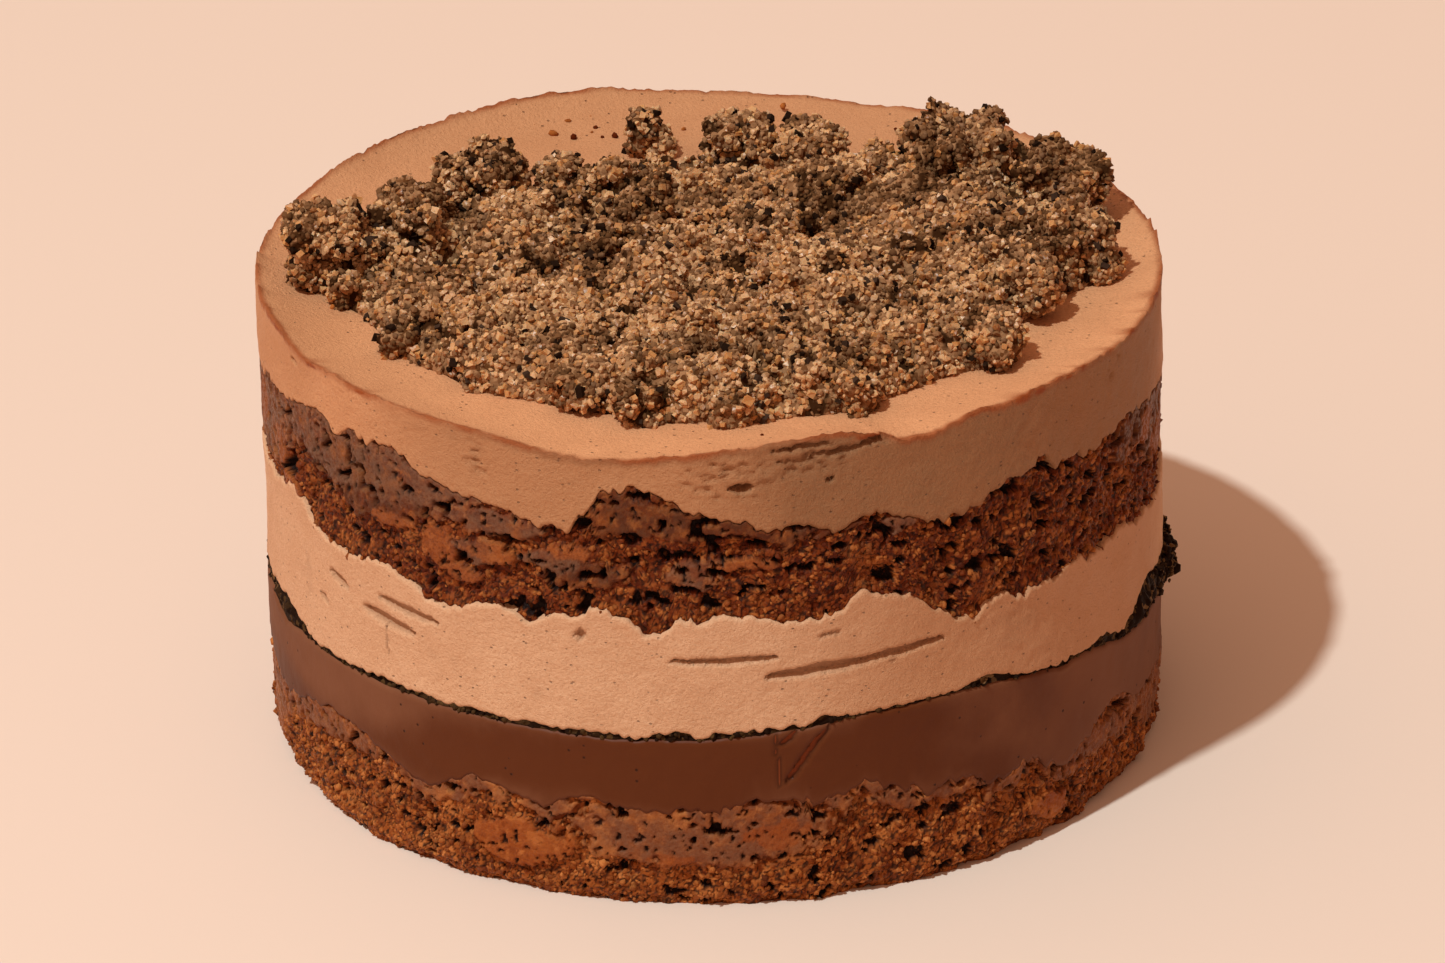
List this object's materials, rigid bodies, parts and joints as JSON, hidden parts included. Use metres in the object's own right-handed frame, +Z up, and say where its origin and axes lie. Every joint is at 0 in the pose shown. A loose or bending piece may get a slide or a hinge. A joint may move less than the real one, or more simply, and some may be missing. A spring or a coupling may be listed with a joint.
{
  "type": "layered cookie cake",
  "caption": "Round layer cake with straight bare sides showing dark sponge, ganache, a crumb seam and milk chocolate mousse, with a heap of sandy cookie crumbs on its dished top.",
  "frame": {"origin": "middle of the flat base", "axes": "+Z up from the base to the top of the cake, -Y towards the side that faces the viewer, +X to the viewer's right"},
  "size_m": [0.1581, 0.1526, 0.0954],
  "materials": {
    "sponge": "open dark chocolate sponge crumb",
    "ganache": "smooth dark chocolate with a dull bloom",
    "dark_crumbs": "dark dry cookie crumbs",
    "mousse": "set milk chocolate mousse with small pores",
    "sandy_crumbs": "sugary crumbs, tan to amber, with dark specks"
  },
  "bodies": {
    "root": {"sponge_bottom": "sponge", "ganache": "ganache", "dark_crumbs": "dark_crumbs", "mousse_middle": "mousse", "sponge_top": "sponge", "mousse_top": "mousse", "crumb_heap": "sandy_crumbs", "lump_left": "sandy_crumbs", "lump_back_left": "sandy_crumbs", "lump_alone": "sandy_crumbs", "lump_back": "sandy_crumbs", "lump_back_right": "sandy_crumbs", "lump_right_back": "sandy_crumbs", "lump_right": "sandy_crumbs", "lump_right_front": "sandy_crumbs"}
  },
  "joints": []
}
